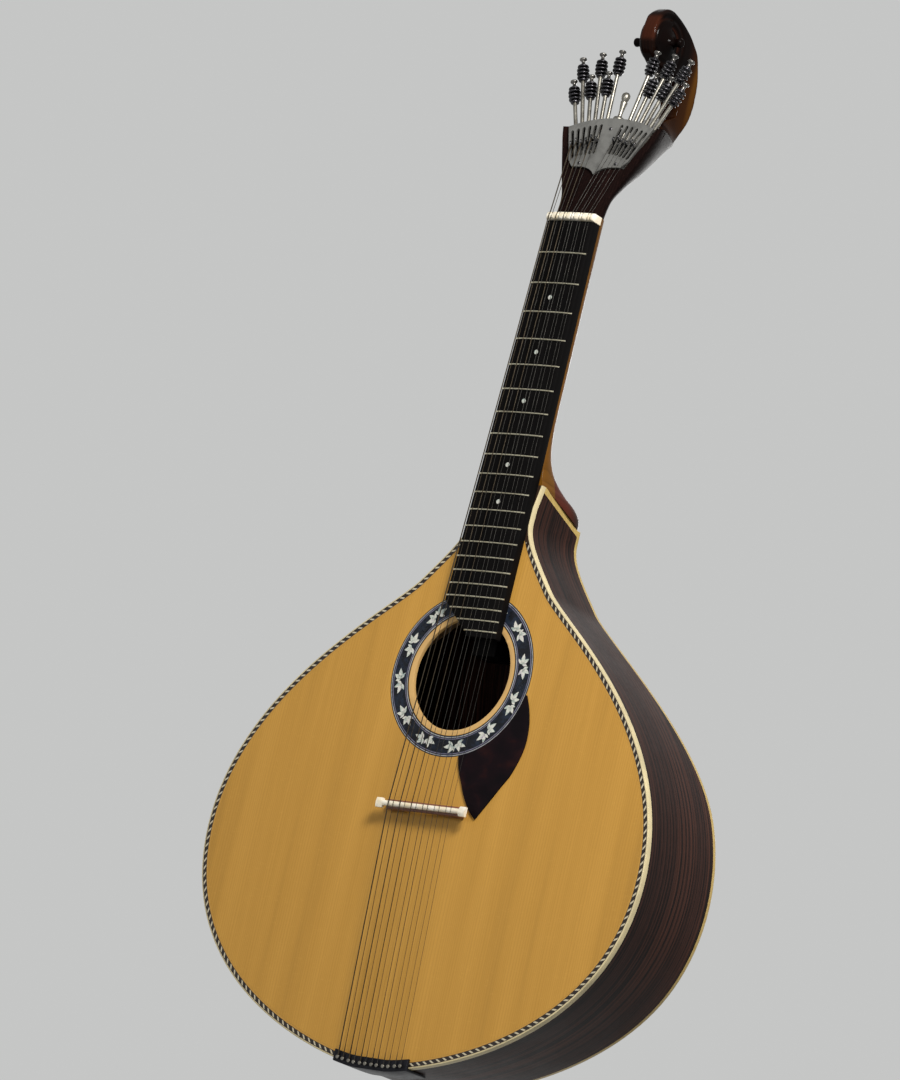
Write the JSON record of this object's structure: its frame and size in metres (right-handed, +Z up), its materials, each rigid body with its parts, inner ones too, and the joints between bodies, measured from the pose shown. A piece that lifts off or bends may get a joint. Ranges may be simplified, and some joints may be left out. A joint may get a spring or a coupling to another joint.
{
  "type": "portuguese guitar",
  "caption": "Pear-shaped plucked instrument with a round soundhole, fretted neck, fan-shaped machine head with radial tuning screws and a carved scroll.",
  "frame": {"origin": "on the flat strip at the tail, in the middle of its width and of the side's depth", "axes": "+Z up the instrument from tail to scroll, -Y out of the soundboard, +X to the treble side"},
  "size_m": [0.39, 0.1137, 0.8144],
  "materials": {
    "spruce": "glossy aged spruce",
    "rosewood": "glossy dark rosewood",
    "neck_wood": "glossy red-brown mahogany",
    "scroll_wood": "glossy red-brown, shaded to black at the sides",
    "head_wood": "glossy near-black",
    "ebony": "satin ebony with metal frets",
    "inner_wood": "bare spruce and cedar",
    "bridge_wood": "satin brown hardwood",
    "binding": "glossy cream with a rope line",
    "inlay": "glossy black with shell leaves",
    "guard": "glossy black",
    "bone": "polished bone",
    "black_metal": "black nickel",
    "nickel": "worn nickel",
    "dark_nickel": "dark polished nickel",
    "steel": "bright steel",
    "string_steel": "plain and wound steel"
  },
  "bodies": {
    "root": {"soundboard": "spruce", "rosette": "inlay", "scratch_plate": "guard", "back_plate": "rosewood", "rib_treble": "rosewood", "rib_bass": "rosewood", "top_binding": "binding", "back_binding": "binding", "top_lining": "inner_wood", "back_lining": "inner_wood", "tail_block": "rosewood", "top_brace_1": "inner_wood", "top_brace_2": "inner_wood", "back_brace": "inner_wood", "bridge_foot": "bridge_wood", "bridge_saddle": "bone", "tailpiece": "black_metal", "neck": "neck_wood", "fingerboard": "ebony", "nut": "bone", "head_block": "head_wood", "scroll": "scroll_wood", "fan_plate": "nickel", "string_1": "string_steel", "string_2": "string_steel", "string_3": "string_steel", "string_4": "string_steel", "string_5": "string_steel", "string_6": "string_steel", "string_7": "string_steel", "string_8": "string_steel", "string_9": "string_steel", "string_10": "string_steel", "string_11": "string_steel", "string_12": "string_steel"},
    "tuner_1": {"tuner_1": "dark_nickel"},
    "hook_1": {"hook_1": "steel"},
    "tuner_2": {"tuner_2": "dark_nickel"},
    "hook_2": {"hook_2": "steel"},
    "tuner_3": {"tuner_3": "dark_nickel"},
    "hook_3": {"hook_3": "steel"},
    "tuner_4": {"tuner_4": "dark_nickel"},
    "hook_4": {"hook_4": "steel"},
    "tuner_5": {"tuner_5": "dark_nickel"},
    "hook_5": {"hook_5": "steel"},
    "tuner_6": {"tuner_6": "dark_nickel"},
    "hook_6": {"hook_6": "steel"},
    "tuner_7": {"tuner_7": "dark_nickel"},
    "hook_7": {"hook_7": "steel"},
    "tuner_8": {"tuner_8": "dark_nickel"},
    "hook_8": {"hook_8": "steel"},
    "tuner_9": {"tuner_9": "dark_nickel"},
    "hook_9": {"hook_9": "steel"},
    "tuner_10": {"tuner_10": "dark_nickel"},
    "hook_10": {"hook_10": "steel"},
    "tuner_11": {"tuner_11": "dark_nickel"},
    "hook_11": {"hook_11": "steel"},
    "tuner_12": {"tuner_12": "dark_nickel"},
    "hook_12": {"hook_12": "steel"},
    "loop_maker": {"loop_maker": "dark_nickel"}
  },
  "joints": [
    {"name": "tuner_1_turn", "type": "hinge", "parent": "root", "child": "tuner_1", "pos_m": [-0.0349, -0.01685, 0.70749], "axis": [-0.3698, 0.1053, 0.9231], "range_deg": [-2520, 2520]},
    {"name": "tuner_2_turn", "type": "hinge", "parent": "root", "child": "tuner_2", "pos_m": [-0.03003, -0.01648, 0.70925], "axis": [-0.3183, 0.1091, 0.9417], "range_deg": [-2520, 2520]},
    {"name": "tuner_3_turn", "type": "hinge", "parent": "root", "child": "tuner_3", "pos_m": [-0.02507, -0.01617, 0.71074], "axis": [-0.2658, 0.1124, 0.9575], "range_deg": [-2520, 2520]},
    {"name": "tuner_4_turn", "type": "hinge", "parent": "root", "child": "tuner_4", "pos_m": [-0.02004, -0.01592, 0.71195], "axis": [-0.2124, 0.1151, 0.9704], "range_deg": [-2520, 2520]},
    {"name": "tuner_5_turn", "type": "hinge", "parent": "root", "child": "tuner_5", "pos_m": [-0.01495, -0.01572, 0.7129], "axis": [-0.1584, 0.1172, 0.9804], "range_deg": [-2520, 2520]},
    {"name": "tuner_6_turn", "type": "hinge", "parent": "root", "child": "tuner_6", "pos_m": [-0.00981, -0.01558, 0.71357], "axis": [-0.104, 0.1187, 0.9875], "range_deg": [-2520, 2520]},
    {"name": "tuner_7_turn", "type": "hinge", "parent": "root", "child": "tuner_7", "pos_m": [0.00981, -0.01558, 0.71357], "axis": [0.104, 0.1187, 0.9875], "range_deg": [-2520, 2520]},
    {"name": "tuner_8_turn", "type": "hinge", "parent": "root", "child": "tuner_8", "pos_m": [0.01495, -0.01572, 0.7129], "axis": [0.1584, 0.1172, 0.9804], "range_deg": [-2520, 2520]},
    {"name": "tuner_9_turn", "type": "hinge", "parent": "root", "child": "tuner_9", "pos_m": [0.02004, -0.01592, 0.71195], "axis": [0.2124, 0.1151, 0.9704], "range_deg": [-2520, 2520]},
    {"name": "tuner_10_turn", "type": "hinge", "parent": "root", "child": "tuner_10", "pos_m": [0.02507, -0.01617, 0.71074], "axis": [0.2658, 0.1124, 0.9575], "range_deg": [-2520, 2520]},
    {"name": "tuner_11_turn", "type": "hinge", "parent": "root", "child": "tuner_11", "pos_m": [0.03003, -0.01648, 0.70925], "axis": [0.3183, 0.1091, 0.9417], "range_deg": [-2520, 2520]},
    {"name": "tuner_12_turn", "type": "hinge", "parent": "root", "child": "tuner_12", "pos_m": [0.0349, -0.01685, 0.70749], "axis": [0.3698, 0.1053, 0.9231], "range_deg": [-2520, 2520]},
    {"name": "hook_1_travel", "type": "slide", "parent": "root", "child": "hook_1", "axis": [-0.3698, 0.1053, 0.9231], "range_m": [-0.0057, 0.0057], "deforming": ["string_1"]},
    {"name": "hook_2_travel", "type": "slide", "parent": "root", "child": "hook_2", "axis": [-0.3183, 0.1091, 0.9417], "range_m": [-0.0057, 0.0057], "deforming": ["string_2"]},
    {"name": "hook_3_travel", "type": "slide", "parent": "root", "child": "hook_3", "axis": [-0.2658, 0.1124, 0.9575], "range_m": [-0.0057, 0.0057], "deforming": ["string_3"]},
    {"name": "hook_4_travel", "type": "slide", "parent": "root", "child": "hook_4", "axis": [-0.2124, 0.1151, 0.9704], "range_m": [-0.0057, 0.0057], "deforming": ["string_4"]},
    {"name": "hook_5_travel", "type": "slide", "parent": "root", "child": "hook_5", "axis": [-0.1584, 0.1172, 0.9804], "range_m": [-0.0057, 0.0057], "deforming": ["string_5"]},
    {"name": "hook_6_travel", "type": "slide", "parent": "root", "child": "hook_6", "axis": [-0.104, 0.1187, 0.9875], "range_m": [-0.0057, 0.0057], "deforming": ["string_6"]},
    {"name": "hook_7_travel", "type": "slide", "parent": "root", "child": "hook_7", "axis": [0.104, 0.1187, 0.9875], "range_m": [-0.0057, 0.0057], "deforming": ["string_7"]},
    {"name": "hook_8_travel", "type": "slide", "parent": "root", "child": "hook_8", "axis": [0.1584, 0.1172, 0.9804], "range_m": [-0.0057, 0.0057], "deforming": ["string_8"]},
    {"name": "hook_9_travel", "type": "slide", "parent": "root", "child": "hook_9", "axis": [0.2124, 0.1151, 0.9704], "range_m": [-0.0057, 0.0057], "deforming": ["string_9"]},
    {"name": "hook_10_travel", "type": "slide", "parent": "root", "child": "hook_10", "axis": [0.2658, 0.1124, 0.9575], "range_m": [-0.0057, 0.0057], "deforming": ["string_10"]},
    {"name": "hook_11_travel", "type": "slide", "parent": "root", "child": "hook_11", "axis": [0.3183, 0.1091, 0.9417], "range_m": [-0.0057, 0.0057], "deforming": ["string_11"]},
    {"name": "hook_12_travel", "type": "slide", "parent": "root", "child": "hook_12", "axis": [0.3698, 0.1053, 0.9231], "range_m": [-0.0057, 0.0057], "deforming": ["string_12"]},
    {"name": "loop_maker_turn", "type": "hinge", "parent": "root", "child": "loop_maker", "pos_m": [0, -0.01548, 0.71407], "axis": [0, 0.1198, 0.9928], "continuous": true}
  ],
  "couplings": [
    {"joint": "hook_1_travel", "follows": "tuner_1_turn", "m_per_rad": -0.00012732},
    {"joint": "hook_2_travel", "follows": "tuner_2_turn", "m_per_rad": -0.00012732},
    {"joint": "hook_3_travel", "follows": "tuner_3_turn", "m_per_rad": -0.00012732},
    {"joint": "hook_4_travel", "follows": "tuner_4_turn", "m_per_rad": -0.00012732},
    {"joint": "hook_5_travel", "follows": "tuner_5_turn", "m_per_rad": -0.00012732},
    {"joint": "hook_6_travel", "follows": "tuner_6_turn", "m_per_rad": -0.00012732},
    {"joint": "hook_7_travel", "follows": "tuner_7_turn", "m_per_rad": -0.00012732},
    {"joint": "hook_8_travel", "follows": "tuner_8_turn", "m_per_rad": -0.00012732},
    {"joint": "hook_9_travel", "follows": "tuner_9_turn", "m_per_rad": -0.00012732},
    {"joint": "hook_10_travel", "follows": "tuner_10_turn", "m_per_rad": -0.00012732},
    {"joint": "hook_11_travel", "follows": "tuner_11_turn", "m_per_rad": -0.00012732},
    {"joint": "hook_12_travel", "follows": "tuner_12_turn", "m_per_rad": -0.00012732}
  ]
}
